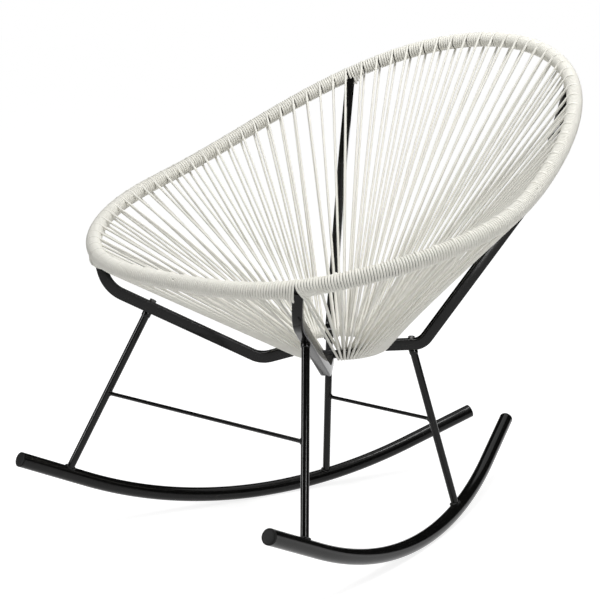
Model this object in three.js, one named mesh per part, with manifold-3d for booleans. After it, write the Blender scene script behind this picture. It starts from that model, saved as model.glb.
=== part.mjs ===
// Rocking lounge chair: a tilted oval rim wound with cord, a seat of straight cords
// drawn down to a small ring, four bows from the rim to the ring, four legs, two tubes to rock on.
// Lengths in millimetres, +Z up, the front towards -Y, and right, as seen from the front, +X.
import * as THREE from "three";
import Module from "manifold-3d";

const wasm = await Module();
wasm.setup();

// the rim's outline is a sum of five waves in each direction, read off the photograph
const RIM_WIDTH = 782.8;
const RIM_LENGTH = 738;
const RIM_HEIGHT = 322;
const RIM_WIDTH_SHARES = [0.51840, -0.02517, 0.01827, -0.01584, -0.00089];
const RIM_LENGTH_SHARES = [0.51179, -0.05461, 0.02439, -0.01748, -0.00976];
const RIM_HEIGHT_SHARES = [0.50342, -0.11615, 0.05652, -0.01708, -0.00745];
const RIM_MID_Y = -53.4;
const RIM_MID_Z = 600.2;
const RIM_TUBE = 19;
const CORD = 4;
const SPOKES = 86;
const RIM_WALL = 1.2;
const DRAIN_HOLE = 4;
const SLIT_DEPTH = 0.9;

// the small ring at the bottom of the seat, and how many loops of each side lie in front of
// the front bow and behind the back one
const SEAT_RING = 162;
const SEAT_RING_ROD = 14;
const SEAT_RING_Y = -23.3;
const SEAT_RING_Z = 316.8;
const SEAT_RING_TILT = 0.0623;
const RING_CLEARANCE = 14.5;
const FRONT_LOOPS = 7;
const BACK_LOOPS = 13;

// bows of the right front and the left back: bends as shares of the rim's width, its length
// and the height of its middle, and turns round the rim and round the ring where they end
const BOW_WIDTH = 19;
const BOW_BAR = 16;
const BOW_CORNER = 2.2;
const BOW_UPPER_BEND = 60;
const BOW_LOW_FRONT_BEND = 45;
const BOW_LOW_BACK_BEND = 28;
const BOW_UPPER_FRONT_SHARES = [0.27568, -0.47466, 0.71176];
const BOW_LOW_FRONT_SHARES = [0.09607, -0.18022, 0.49034];
const BOW_LOW_BACK_SHARES = [-0.13592, 0.09946, 0.52449];
const BOW_UPPER_BACK_SHARES = [-0.29177, 0.32507, 0.97967];
const BOW_RIM_FRONT_TURN = 0.629;
const BOW_RIM_BACK_TURN = 2.599;
const BOW_RING_FRONT_TURN = 0.5655;
const BOW_RING_BACK_TURN = 2.204;
const BOW_RING_DROP = 6;

// rockers: an arc with straight ends, splayed towards the front and leaning inwards
const ROCKER_TUBE = 25;
const ROCKER_WALL = 1.5;
const ROCKER_RADIUS = 862;
const ROCKER_FRONT_TURN = 0.442;
const ROCKER_BACK_TURN = 0.349;
const ROCKER_FLAT_TURN = 0.07;
const ROCKER_FRONT_TAIL = 134;
const ROCKER_BACK_TAIL = 142.5;
const ROCKER_HALF_GAP = 190.3;
const ROCKER_SPLAY = 0.2802;
const ROCKER_LEAN = 0.2888;
const PLUG_HEAD = 3;
const PLUG_SPIGOT = 14;

const LEG_ROD = 13;
const LEG_WALL = 1.5;
const LEG_SOLID_TOP = 30;
const LEG_FRONT_FOOT_Y = -396.5;
const LEG_BACK_FOOT_Y = 116.2;
const LEG_FRONT_BOW_SHARE = 0.272;
const LEG_BACK_HEEL = 1.828128;
const STRETCHER_ROD = 6.5;
const STRETCHER_FRONT_SHARE = 0.489;
const STRETCHER_BACK_SHARE = 0.549;

const BOLT = 6;
const BOLT_HEAD = 10;
const BOLT_HEAD_HEIGHT = 4;
const BOLT_GRIP = 12;
const WASHER = 12.5;
const WASHER_THICK = 1.4;
const WELD = 3.2;
const GAP = 0.3;

// numbers of sides and of steps, fewer than on the real pieces
const RIM_SIDES = 8;
const RIM_BORE_SIDES = 6;
const CORD_SIDES = 4;
const ROCKER_SIDES = 12;
const ROD_SIDES = 12;
const THIN_ROD_SIDES = 10;
const SMALL_SIDES = 8;
const HEXAGON = 6;
const RING_STEPS = 36;
const BEND_STEPS = 4;
const TURNS = 2880;
const SIDE_FANS = 3;
const WRAP_CORNER_SHARE = 1.056;

const v3 = (shares) => new THREE.Vector3(shares[0] * RIM_WIDTH, shares[1] * RIM_LENGTH,
  shares[2] * RIM_MID_Z);
const sideways = (p, side) => new THREE.Vector3(p.x * side, p.y, p.z);

// closed body from points and triangles, turned the right way out
function body(points, tris) {
  let volume = 0;
  for (const [a, b, c] of tris) volume += points[a].dot(points[b].clone().cross(points[c]));
  const faces = volume < 0 ? tris.map(([a, b, c]) => [a, c, b]) : tris;
  const vertProperties = new Float32Array(points.flatMap((p) => [p.x, p.y, p.z]));
  const triVerts = new Uint32Array(faces.flat());
  return new wasm.Manifold(new wasm.Mesh({ numProp: 3, vertProperties, triVerts }));
}

// joins rings of points, all of the same number, into a skin; open ends get flat caps
function skin(rings, closed) {
  const n = rings[0].length;
  const points = rings.flat();
  const tris = [];
  const last = closed ? rings.length : rings.length - 1;
  for (let i = 0; i < last; i++) {
    const j = (i + 1) % rings.length;
    for (let k = 0; k < n; k++) {
      const m = (k + 1) % n;
      tris.push([i * n + k, i * n + m, j * n + m], [i * n + k, j * n + m, j * n + k]);
    }
  }
  if (!closed) {
    const e = (rings.length - 1) * n;
    for (let k = 1; k < n - 1; k++) tris.push([0, k + 1, k], [e, e + k, e + k + 1]);
  }
  return [points, tris];
}

const round = (diameter, sides, turn = 0) =>
  Array.from({ length: sides }, (_, k) => {
    const a = turn + (2 * Math.PI * (k + 0.5)) / sides;
    const r = diameter / 2 / Math.cos(Math.PI / sides);
    return [r * Math.cos(a), r * Math.sin(a)];
  });

// round bar whose corners, not its flats, lie on the diameter
const inscribed = (diameter, sides) =>
  round(diameter * Math.cos(Math.PI / sides), sides);

// section with as much area as the round one, so that the piece weighs what it should
const fair = (diameter, sides) =>
  round(diameter * Math.sqrt((Math.PI / sides) / Math.tan(Math.PI / sides)), sides);

function bevelled(width, height, corner) {
  const [w, h] = [width / 2, height / 2];
  const [c, d] = [w - corner, h - corner];
  return [[w, -d], [w, d], [c, h], [-c, h], [-w, d], [-w, -d], [-c, -h], [c, -h]];
}

// sweeps a section along a path of points, mitred at each point
function sweepRings(path, section, across) {
  const dirs = [];
  for (let i = 0; i < path.length - 1; i++) dirs.push(path[i + 1].clone().sub(path[i]).normalize());
  let a = across.clone().addScaledVector(dirs[0], -across.dot(dirs[0])).normalize();
  const rings = [];
  for (let i = 0; i < path.length; i++) {
    const d = dirs[Math.max(i - 1, 0)];
    const e = dirs[Math.min(i, dirs.length - 1)];
    const n = d.clone().add(e).normalize();
    const up = d.clone().cross(a);
    rings.push(section.map(([s, t]) => {
      const o = a.clone().multiplyScalar(s).addScaledVector(up, t);
      return path[i].clone().add(o).addScaledVector(d, -o.dot(n) / d.dot(n));
    }));
    a.applyQuaternion(new THREE.Quaternion().setFromUnitVectors(d, e)).normalize();
  }
  return rings;
}
const sweep = (path, section, across) => body(...skin(sweepRings(path, section, across), false));
const bar = (from, to, section, across) => sweep([from, to], section, across);

// rounds the corners of a path with arcs
function bend(corners, radii, steps) {
  const out = [corners[0].clone()];
  for (let i = 1; i < corners.length - 1; i++) {
    const p = corners[i];
    const radius = radii[i - 1];
    const u = corners[i - 1].clone().sub(p).normalize();
    const w = corners[i + 1].clone().sub(p).normalize();
    const half = Math.acos(THREE.MathUtils.clamp(u.dot(w), -1, 1)) / 2;
    const centre = p.clone().addScaledVector(u.clone().add(w).normalize(), radius / Math.sin(half));
    const from = p.clone().addScaledVector(u, radius / Math.tan(half)).sub(centre);
    const to = p.clone().addScaledVector(w, radius / Math.tan(half)).sub(centre);
    const turn = Math.PI - 2 * half;
    for (let k = 0; k <= steps; k++) {
      const f = k / steps;
      const q = from.clone().multiplyScalar(Math.sin((1 - f) * turn) / Math.sin(turn));
      out.push(q.addScaledVector(to, Math.sin(f * turn) / Math.sin(turn)).add(centre));
    }
  }
  out.push(corners[corners.length - 1].clone());
  return out;
}

// the rim's centre line
function rimPoint(turn) {
  const p = new THREE.Vector3(0, RIM_MID_Y, RIM_MID_Z);
  RIM_WIDTH_SHARES.forEach((_, i) => {
    p.x += RIM_WIDTH * RIM_WIDTH_SHARES[i] * Math.sin((i + 1) * turn);
    p.y -= RIM_LENGTH * RIM_LENGTH_SHARES[i] * Math.cos((i + 1) * turn);
    p.z -= RIM_HEIGHT * RIM_HEIGHT_SHARES[i] * Math.cos((i + 1) * turn);
  });
  return p;
}
const rimTable = [0];
for (let i = 1; i <= TURNS; i++) {
  const a = rimPoint((2 * Math.PI * (i - 1)) / TURNS);
  rimTable.push(rimTable[i - 1] + a.distanceTo(rimPoint((2 * Math.PI * i) / TURNS)));
}
// turn at a share of the rim's length, from the middle of the front round by the right side
function turnAt(share) {
  const s = (share - Math.floor(share)) * rimTable[TURNS];
  let i = 1;
  while (rimTable[i] < s) i++;
  const f = (s - rimTable[i - 1]) / (rimTable[i] - rimTable[i - 1]);
  return (2 * Math.PI * (i - 1 + f)) / TURNS;
}
// square to the rim's middle plane, for the frames along it
const rimNormal = rimPoint(Math.PI / 2).sub(rimPoint(0))
  .cross(rimPoint(Math.PI).sub(rimPoint(0))).normalize();
function rimFrame(share) {
  const turn = turnAt(share);
  const step = Math.PI / TURNS;
  const along = rimPoint(turn + step).sub(rimPoint(turn - step)).normalize();
  const out = along.clone().cross(rimNormal).normalize();
  return { at: rimPoint(turn), along, out, up: out.clone().cross(along) };
}
function rimRing(share, section) {
  const f = rimFrame(share);
  return section.map(([s, t]) => f.at.clone().addScaledVector(f.out, s).addScaledVector(f.up, t));
}
function rimBody(stations, sections) {
  return body(...skin(stations.map((s, i) => rimRing(s, sections[i])), true));
}

const slits = Array.from({ length: SPOKES }, (_, k) => (k + 0.5) / SPOKES);
const tubeStations = Array.from({ length: SPOKES / 2 }, (_, k) => (2 * k) / SPOKES);
const onTube = (section) => rimBody(tubeStations, tubeStations.map(() => section));
const rimClear = onTube(fair(RIM_TUBE + 2 * GAP, RIM_SIDES));
const wrapOut = RIM_TUBE + 2 * CORD;
const low = rimFrame(0);
const drain = bar(low.at, low.at.clone().addScaledVector(low.up, -RIM_TUBE),
  round(DRAIN_HOLE, RIM_SIDES), low.along);
const rimTube = onTube(fair(RIM_TUBE, RIM_SIDES))
  .subtract(onTube(fair(RIM_TUBE - 2 * RIM_WALL, RIM_BORE_SIDES))).subtract(drain);

// windings from one slit to another, with a shallow groove where each loop leaves them
function windings(first, next) {
  const half = GAP / 2 / rimTable[TURNS];
  const stations = [];
  const fat = fair(wrapOut + SLIT_DEPTH, RIM_SIDES);
  const thin = fair(wrapOut - SLIT_DEPTH, RIM_SIDES);
  for (let k = first; k < next; k++) {
    stations.push([k === first ? k / SPOKES + half : k / SPOKES, fat], [(k + 0.5) / SPOKES, thin]);
  }
  stations.push([next / SPOKES - half, fat]);
  return body(...skin(stations.map(([s, section]) => rimRing(s, section)), false));
}

// the small ring
const ringCentre = new THREE.Vector3(0, SEAT_RING_Y, SEAT_RING_Z);
const ringAlong = new THREE.Vector3(0, Math.cos(SEAT_RING_TILT), Math.sin(SEAT_RING_TILT));
const ringUp = new THREE.Vector3(0, -Math.sin(SEAT_RING_TILT), Math.cos(SEAT_RING_TILT));
// direction from the ring's centre, turned from the front round by the right side
const ringOut = (angle) => new THREE.Vector3(Math.sin(angle), 0, 0)
  .addScaledVector(ringAlong, -Math.cos(angle));
const ringPoint = (angle) => ringCentre.clone().addScaledVector(ringOut(angle), SEAT_RING / 2);
const ringBody = (rod) => body(...skin(Array.from({ length: RING_STEPS }, (_, k) => {
  const angle = (2 * Math.PI * k) / RING_STEPS;
  return rod.map(([s, t]) => ringPoint(angle).addScaledVector(ringOut(angle), s)
    .addScaledVector(ringUp, t));
}), true));
const ringRod = ringBody(inscribed(SEAT_RING_ROD, SMALL_SIDES));
const ringClear = ringBody(round(SEAT_RING_ROD + 2 * GAP, SMALL_SIDES));

// bows from the rim to the outside of the ring, and their mirror images
const shortOf = (p, toward) => p.clone().lerp(toward, RIM_TUBE / 5 / p.distanceTo(toward));
const rimFront = shortOf(rimPoint(BOW_RIM_FRONT_TURN), v3(BOW_UPPER_FRONT_SHARES));
const rimBack = shortOf(rimPoint(-BOW_RIM_BACK_TURN), v3(BOW_UPPER_BACK_SHARES));
const atRing = (angle) => ringPoint(angle).addScaledVector(ringUp, -BOW_RING_DROP);
const lowFront = v3(BOW_LOW_FRONT_SHARES);
const lowBack = v3(BOW_LOW_BACK_SHARES);
const ringFront = atRing(BOW_RING_FRONT_TURN);
const ringBack = atRing(-BOW_RING_BACK_TURN);
const bowAcross = rimBack.clone().sub(rimFront).cross(new THREE.Vector3(0, 0, 1)).normalize();
const acrossMirror = sideways(bowAcross, -1);
const frontCorners = [rimFront, v3(BOW_UPPER_FRONT_SHARES), lowFront, ringFront];
const backCorners = [rimBack, v3(BOW_UPPER_BACK_SHARES), lowBack, ringBack];
const bows = [
  ["bow_front_right", frontCorners, BOW_LOW_FRONT_BEND, 1],
  ["bow_rear_right", backCorners, BOW_LOW_BACK_BEND, -1],
  ["bow_front_left", frontCorners, BOW_LOW_FRONT_BEND, -1],
  ["bow_rear_left", backCorners, BOW_LOW_BACK_BEND, 1],
].map(([name, corners, lowBend, side]) => {
  const path = bend(corners.map((p) => sideways(p, side)), [BOW_UPPER_BEND, lowBend], BEND_STEPS);
  const across = side > 0 ? bowAcross : acrossMirror;
  const grown = (extra) => sweep(path,
    bevelled(BOW_WIDTH + extra, BOW_BAR + extra, BOW_CORNER), across);
  return { name, solid: grown(0), clear: grown(2 * GAP) };
});
const bowsClear = bows.slice(1).reduce((all, bow) => all.add(bow.clear), bows[0].clear);

const clearAngle = RING_CLEARANCE / (SEAT_RING / 2);
// half of the loops, spread evenly over what the bows leave of the half ring
const spans = [[0, BOW_RING_FRONT_TURN - clearAngle], [BOW_RING_FRONT_TURN + clearAngle,
  BOW_RING_BACK_TURN - clearAngle], [BOW_RING_BACK_TURN + clearAngle, Math.PI]];
const perSpan = [FRONT_LOOPS, SPOKES / 2 - FRONT_LOOPS - BACK_LOOPS, BACK_LOOPS];
const halfAngles = spans.flatMap(([a, b], i) =>
  Array.from({ length: perSpan[i] }, (_, k) => {
    const step = (b - a) / (perSpan[i] - (i === 1 ? 1 : 0.5));
    return i === 0 ? b - (perSpan[i] - 1 - k) * step : a + k * step;
  }));
const loopAngles = [...halfAngles, ...halfAngles.map((a) => 2 * Math.PI - a).reverse()];

// a loop's lower strand leaves beside a bow's end where it would run into it
const besideBow = (SLIT_DEPTH + BOW_WIDTH + CORD) / 2 + 2 * GAP;
const bowShares = [BOW_RIM_FRONT_TURN, BOW_RIM_BACK_TURN].map((turn) =>
  rimTable[Math.round((turn * TURNS) / (2 * Math.PI))] / rimTable[TURNS]);
function lowerShare(k) {
  const far = k + 0.5 > SPOKES / 2;
  const share = far ? 1 - slits[k] : slits[k];
  const near = bowShares.find((b) => Math.abs(b - share) * rimTable[TURNS] < besideBow);
  const moved = near === undefined ? share : near + besideBow / rimTable[TURNS];
  return far ? 1 - moved : moved;
}

// one loop: from over the rim, round the rod of the ring and back to under the rim
function loopRings(k) {
  const out = ringOut(loopAngles[k]);
  const rod = ringPoint(loopAngles[k]);
  const hold = (SEAT_RING_ROD + CORD) / 2 + GAP;
  const rimEnd = (share, side) => {
    const f = rimFrame(share);
    const above = f.at.clone().sub(rod).cross(f.along).normalize();
    if (above.z < 0) above.negate();
    return f.at.clone().addScaledVector(above, (side * (wrapOut - CORD)) / 2);
  };
  const upper = rimEnd(slits[k], 1);
  const lower = rimEnd(lowerShare(k), -1);
  const slope = (p) => Math.atan2(p.clone().sub(rod).dot(ringUp), p.clone().sub(rod).dot(out));
  const mid = slope(upper.clone().add(lower).multiplyScalar(0.5));
  const reach = hold / Math.cos(Math.PI / 6);
  const inner = [1, 0, -1].map((j) => {
    const a = mid + Math.PI - (j * Math.PI) / 3;
    return rod.clone().addScaledVector(out, reach * Math.cos(a))
      .addScaledVector(ringUp, reach * Math.sin(a));
  });
  const rings = sweepRings([upper, ...inner, lower], fair(CORD, CORD_SIDES),
    out.clone().cross(ringUp));
  const thick = lowerShare(k) === slits[k] ? wrapOut : wrapOut + 2 * SLIT_DEPTH;
  landOnWrap(rings[0], rings[1], rimFrame(slits[k]), wrapOut);
  landOnWrap(rings[rings.length - 1], rings[rings.length - 2], rimFrame(lowerShare(k)), thick);
  return rings;
}
// slides the corners of a cord's end along the cord to where it meets the windings
function landOnWrap(end, before, f, thick) {
  const reach = (thick / 2) * WRAP_CORNER_SHARE + GAP;
  end.forEach((p, i) => {
    const d = p.clone().sub(before[i]).normalize();
    const flat = (v) => v.clone().addScaledVector(f.along, -v.dot(f.along));
    const o = flat(p.clone().sub(f.at));
    const e = flat(d);
    const a = e.lengthSq();
    const b = o.dot(e);
    const c = o.lengthSq() - reach * reach;
    p.addScaledVector(d, (-b - Math.sqrt(Math.max(b * b - a * c, 0))) / a);
  });
}
// loops side by side, each joined to the next one inside the ring, where they press together
function loops(first, next) {
  const points = [];
  const tris = [];
  const bridged = [1, 2];
  for (let k = first; k < next; k++) {
    const base = points.length;
    const [p, t] = skin(loopRings(k), false);
    points.push(...p);
    const at = (ring, corner) => base + ring * CORD_SIDES + corner;
    const prior = base - p.length;
    const inFace = (face, corners) => face.every((v) => bridged.includes((v / CORD_SIDES) | 0)
      && corners.includes(v % CORD_SIDES));
    for (const face of t) {
      if (k < next - 1 && inFace(face, [1, 2])) continue;
      if (k > first && inFace(face, [3, 0])) continue;
      tris.push(face.map((v) => v + base));
    }
    if (k === first) continue;
    const old = [at(1, 1), at(1, 2), at(2, 2), at(2, 1)].map((v) => v - base + prior);
    const now = [at(1, 0), at(1, 3), at(2, 3), at(2, 0)];
    for (let i = 0; i < 4; i++) {
      const j = (i + 1) % 4;
      tris.push([old[i], old[j], now[j]], [old[i], now[j], now[i]]);
    }
  }
  return body(points, tris);
}

// rockers
function rockerPath(side) {
  const back = new THREE.Vector3(-Math.sin(ROCKER_SPLAY), Math.cos(ROCKER_SPLAY), 0);
  const outward = new THREE.Vector3(Math.cos(ROCKER_SPLAY), Math.sin(ROCKER_SPLAY), 0);
  const up = new THREE.Vector3(0, 0, Math.cos(ROCKER_LEAN))
    .addScaledVector(outward, -Math.sin(ROCKER_LEAN));
  const low = new THREE.Vector3(ROCKER_HALF_GAP, 0, ROCKER_TUBE / 2);
  const at = (u, w) => sideways(low.clone().addScaledVector(back, u).addScaledVector(up, w), side);
  const arc = (a) => at(ROCKER_RADIUS * Math.sin(a), ROCKER_RADIUS * (1 - Math.cos(a)));
  const turns = [-ROCKER_FRONT_TURN];
  // straight steps, one of them flat on the floor where the chair stands
  const step = ROCKER_FLAT_TURN;
  for (let k = Math.ceil(-ROCKER_FRONT_TURN / step) - 0.5; k * step < ROCKER_BACK_TURN; k++) {
    if (k * step + ROCKER_FRONT_TURN > step / 3 && ROCKER_BACK_TURN - k * step > step / 3) {
      turns.push(k * step);
    }
  }
  turns.push(ROCKER_BACK_TURN);
  const points = turns.map(arc);
  const tail = (a, length) => arc(a).sub(arc(a * 0.999)).normalize().multiplyScalar(length);
  points.unshift(arc(-ROCKER_FRONT_TURN).add(tail(-ROCKER_FRONT_TURN, ROCKER_FRONT_TAIL)));
  points.push(arc(ROCKER_BACK_TURN).add(tail(ROCKER_BACK_TURN, ROCKER_BACK_TAIL)));
  // a straight step lies a hair inside the arc, so the path is put back on the floor
  const lowest = Math.min(...points.map((p) => p.z));
  points.forEach((p) => { p.z += ROCKER_TUBE / 2 - lowest; });
  const normal = outward.clone().multiplyScalar(Math.cos(ROCKER_LEAN));
  normal.z += Math.sin(ROCKER_LEAN);
  return { points, across: sideways(normal, side) };
}
const rockers = [1, -1].map((side) => {
  const { points, across } = rockerPath(side);
  const turn = side * ROCKER_LEAN;
  const skinOf = (d) => sweep(points, round(d, ROCKER_SIDES, turn), across);
  const bore = ROCKER_TUBE - 2 * ROCKER_WALL;
  const ends = [0, 1].map((k) => {
    const p = k ? points[points.length - 1] : points[0];
    const q = k ? points[points.length - 2] : points[1];
    const out = p.clone().sub(q).normalize();
    return { p, out };
  });
  const longer = points.map((p) => p.clone());
  longer[0].addScaledVector(ends[0].out, ROCKER_TUBE);
  longer[longer.length - 1].addScaledVector(ends[1].out, ROCKER_TUBE);
  const hollow = skinOf(ROCKER_TUBE).subtract(sweep(longer, round(bore, ROCKER_SIDES, turn), across));
  const plugs = ends.map(({ p, out }) => {
    const face = p.clone().addScaledVector(out, GAP);
    const head = bar(face, face.clone().addScaledVector(out, PLUG_HEAD),
      round(ROCKER_TUBE, ROCKER_SIDES, turn), across);
    const spigot = bar(p.clone().addScaledVector(out, -PLUG_SPIGOT),
      face.clone().addScaledVector(out, PLUG_HEAD / 2),
      round(bore - 2 * GAP, ROCKER_SIDES, turn), across);
    return head.add(spigot);
  });
  return { points, hollow, plugs, clear: skinOf(ROCKER_TUBE + 2 * GAP) };
});
function onRocker(points, y) {
  for (let i = 1; i < points.length; i++) {
    if (points[i].y >= y) {
      const f = (y - points[i - 1].y) / (points[i].y - points[i - 1].y);
      return points[i - 1].clone().lerp(points[i], f);
    }
  }
  return points[points.length - 1].clone();
}

// legs: rods from the rockers up to the underside of the bows, bolted through the bows
const legPlaces = [
  { name: "front_right", side: 1, y: LEG_FRONT_FOOT_Y, front: true },
  { name: "front_left", side: -1, y: LEG_FRONT_FOOT_Y, front: true },
  { name: "rear_right", side: 1, y: LEG_BACK_FOOT_Y, front: false },
  { name: "rear_left", side: -1, y: LEG_BACK_FOOT_Y, front: false },
];
const crossways = new THREE.Vector3(1, 0, 0);
// a back leg's bolt stands off the bow's bend by half its washer, less the heel that the bend
// is still flat enough to carry
const backBend = v3(BOW_UPPER_BACK_SHARES).sub(lowBack).angleTo(ringBack.clone().sub(lowBack));
const backPlace = BOW_LOW_BACK_BEND / Math.tan(backBend / 2) + WASHER / 2 - LEG_BACK_HEEL;
const legs = legPlaces.map(({ name, side, y, front }) => {
  const rocker = rockers[side > 0 ? 0 : 1];
  const foot = onRocker(rocker.points, y);
  const a = front ? v3(BOW_UPPER_FRONT_SHARES) : ringBack;
  const b = front ? lowFront : lowBack;
  const onBow = front ? a.clone().lerp(b, LEG_FRONT_BOW_SHARE)
    : b.clone().addScaledVector(a.clone().sub(b).normalize(), backPlace);
  const top = sideways(onBow, front ? side : -side);
  const bowDir = sideways(b.clone().sub(a), front ? side : -side).normalize();
  const acrossBow = front === side > 0 ? bowAcross : acrossMirror;
  const level = acrossBow.clone().addScaledVector(bowDir, -acrossBow.dot(bowDir)).normalize();
  const up = bowDir.clone().cross(level);
  if (up.z < 0) up.negate();
  return { name, side, front, foot, top, bowDir, level, up, rocker };
});
// every cut for the four bolts, as one body: a hole through the bow and into the leg
const bolts = legs.map(({ top, up, level }) => {
  const seat = top.clone().addScaledVector(up, BOW_BAR / 2);
  const tip = top.clone().addScaledVector(up, -BOW_BAR / 2 - BOLT_GRIP);
  const hole = bar(tip.clone().addScaledVector(up, -GAP), seat.clone().addScaledVector(up, BOW_BAR),
    round(BOLT + 2 * GAP, SMALL_SIDES), level);
  const washerLow = seat.clone().addScaledVector(up, GAP);
  const washerTop = washerLow.clone().addScaledVector(up, WASHER_THICK);
  const washer = bar(washerLow, washerTop, round(WASHER, THIN_ROD_SIDES), level).subtract(hole);
  const headLow = washerTop.clone().addScaledVector(up, GAP);
  const headTop = headLow.clone().addScaledVector(up, BOLT_HEAD_HEIGHT);
  const screw = bar(tip, headLow.clone().addScaledVector(up, BOLT_HEAD_HEIGHT / 2),
    inscribed(BOLT, SMALL_SIDES), level).add(bar(headLow, headTop, round(BOLT_HEAD, HEXAGON), level));
  return { hole, washer, screw };
});
const allHoles = bolts.slice(1).reduce((sum, b) => sum.add(b.hole), bolts[0].hole);
legs.forEach((leg) => {
  const rod = bar(leg.foot, leg.top, inscribed(LEG_ROD, ROD_SIDES), crossways);
  const end = leg.top.clone().addScaledVector(leg.foot.clone().sub(leg.top).normalize(), LEG_SOLID_TOP);
  const bore = bar(leg.foot, end, inscribed(LEG_ROD - 2 * LEG_WALL, SMALL_SIDES), crossways);
  leg.solid = rod.subtract(leg.rocker.clear).subtract(bowsClear).subtract(allHoles).subtract(bore);
  leg.clear = bar(leg.foot, leg.top, round(LEG_ROD + 2 * GAP, ROD_SIDES), crossways);
});

// stretchers, side to side between the legs
const stretchers = [[0, 1, STRETCHER_FRONT_SHARE], [2, 3, STRETCHER_BACK_SHARE]].map(([r, l, share]) => {
  const from = legs[r].foot.clone().lerp(legs[r].top, share);
  const to = legs[l].foot.clone().lerp(legs[l].top, share);
  const up = new THREE.Vector3(0, 0, 1);
  return {
    from, to, up,
    solid: bar(from, to, inscribed(STRETCHER_ROD, THIN_ROD_SIDES), up)
      .subtract(legs[r].clear).subtract(legs[l].clear),
    clear: bar(from, to, round(STRETCHER_ROD + 2 * GAP, THIN_ROD_SIDES), up),
  };
});

// weld beads: a cone round the end of a rod, cut clear of both pieces
function bead(at, dir, rod, across, start) {
  const base = at.clone().addScaledVector(dir, start);
  const rings = sweepRings([base, base.clone().addScaledVector(dir, WELD * 2)],
    round(rod + 2 * WELD, SMALL_SIDES), across);
  rings[1] = sweepRings([base.clone().addScaledVector(dir, WELD * 2),
    base.clone().addScaledVector(dir, WELD * 3)], round(rod + 2 * GAP, SMALL_SIDES), across)[0];
  return body(...skin(rings, false));
}
const footBeads = legs.map((leg) => {
  const dir = leg.top.clone().sub(leg.foot).normalize();
  return bead(leg.foot, dir, LEG_ROD + WELD, crossways, ROCKER_TUBE / 2 - WELD)
    .subtract(leg.clear).subtract(leg.rocker.clear);
});
const rodBeads = stretchers.flatMap(({ from, to, up, clear }, i) => [0, 1].map((k) => {
  const leg = legs[2 * i + k];
  const dir = k ? from.clone().sub(to).normalize() : to.clone().sub(from).normalize();
  return bead(k ? to : from, dir, STRETCHER_ROD + WELD / 2, up, LEG_ROD / 2 - WELD)
    .subtract(clear).subtract(leg.clear);
}));

const sum = (list) => list.slice(1).reduce((a, b) => a.add(b), list[0]);
const PAINT = { color: 0x1c1c1a, metalness: 0.2, roughness: 0.25 };
const PVC = { color: 0xdcd9d0, metalness: 0, roughness: 0.45 };
const PLASTIC = { color: 0x141414, metalness: 0, roughness: 0.5 };
const STEEL = { color: 0x2a2a2a, metalness: 0.8, roughness: 0.35 };
const pieces = [];
const piece = (name, solid, look) => pieces.push([name, solid, look]);

piece("rim_tube", rimTube, PAINT);
piece("seat_ring", ringRod, PAINT);
// fans of cord, from the front round by the right, parted where the bows meet the ring
const [inFront, atSide, atBack] = perSpan;
const fanEnds = [0, inFront];
for (let i = 1; i <= SIDE_FANS; i++) fanEnds.push(inFront + Math.round((i * atSide) / SIDE_FANS));
fanEnds.push(inFront + atSide + Math.round(atBack / 2), SPOKES / 2);
const fans = [...fanEnds, ...fanEnds.slice(0, -1).map((k) => SPOKES - k).reverse()];
for (let i = 0; i < fans.length - 1; i++) {
  piece("seat_cords_" + (i + 1), loops(fans[i], fans[i + 1]), PVC);
}
const quarter = Math.ceil(SPOKES / 4);
const wrapEnds = [0, quarter, SPOKES / 2, SPOKES - quarter, SPOKES];
["front_right", "rear_right", "rear_left", "front_left"].forEach((name, i) =>
  piece("rim_wrap_" + name, windings(wrapEnds[i], wrapEnds[i + 1])
    .subtract(rimClear).subtract(bowsClear), PVC));
bows.forEach(({ name, solid }) =>
  piece(name, solid.subtract(rimClear).subtract(ringClear).subtract(allHoles), PAINT));
piece("rocker_right", rockers[0].hollow, PAINT);
piece("rocker_left", rockers[1].hollow, PAINT);
["front_right", "rear_right", "front_left", "rear_left"].forEach((name, k) =>
  piece("rocker_plug_" + name, rockers[k >> 1].plugs[k % 2], PLASTIC));
piece("stretcher_front", stretchers[0].solid, PAINT);
piece("stretcher_rear", stretchers[1].solid, PAINT);
legs.forEach((leg, i) => {
  piece("leg_" + leg.name, leg.solid, PAINT);
  piece("leg_bolt_" + leg.name, bolts[i].screw, STEEL);
  piece("leg_washer_" + leg.name, bolts[i].washer, STEEL);
  piece("foot_weld_" + leg.name, footBeads[i], PAINT);
  piece("stretcher_weld_" + leg.name, rodBeads[i], PAINT);
});

const group = new THREE.Group();
group.name = "rocking_cord_chair";
const whole = new THREE.Box3();
const made = pieces.map(([name, solid, look]) => {
  const mesh = solid.getMesh();
  const geometry = new THREE.BufferGeometry();
  geometry.setAttribute("position", new THREE.BufferAttribute(new Float32Array(mesh.vertProperties), 3));
  geometry.setIndex(new THREE.BufferAttribute(new Uint32Array(mesh.triVerts), 1));
  geometry.computeBoundingBox();
  whole.union(geometry.boundingBox);
  return [name, geometry, look];
});
// the frame's origin is the middle of the floor area under the chair
const middle = whole.getCenter(new THREE.Vector3());
for (const [name, geometry, look] of made) {
  geometry.translate(-middle.x, -middle.y, -whole.min.z);
  geometry.computeVertexNormals();
  const item = new THREE.Mesh(geometry, new THREE.MeshStandardMaterial(look));
  item.name = name;
  group.add(item);
}

export default group;
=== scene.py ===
"""Looks of the rocking cord chair: the gloss black frame and the off-white cord wound on its rim and strung
down to the small ring. Shapes are worked out in millimetres in the frame of the part's source, with the front
towards -Y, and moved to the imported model's frame when they become meshes."""
import math
import bpy
import numpy as np
from mathutils import Matrix


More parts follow.
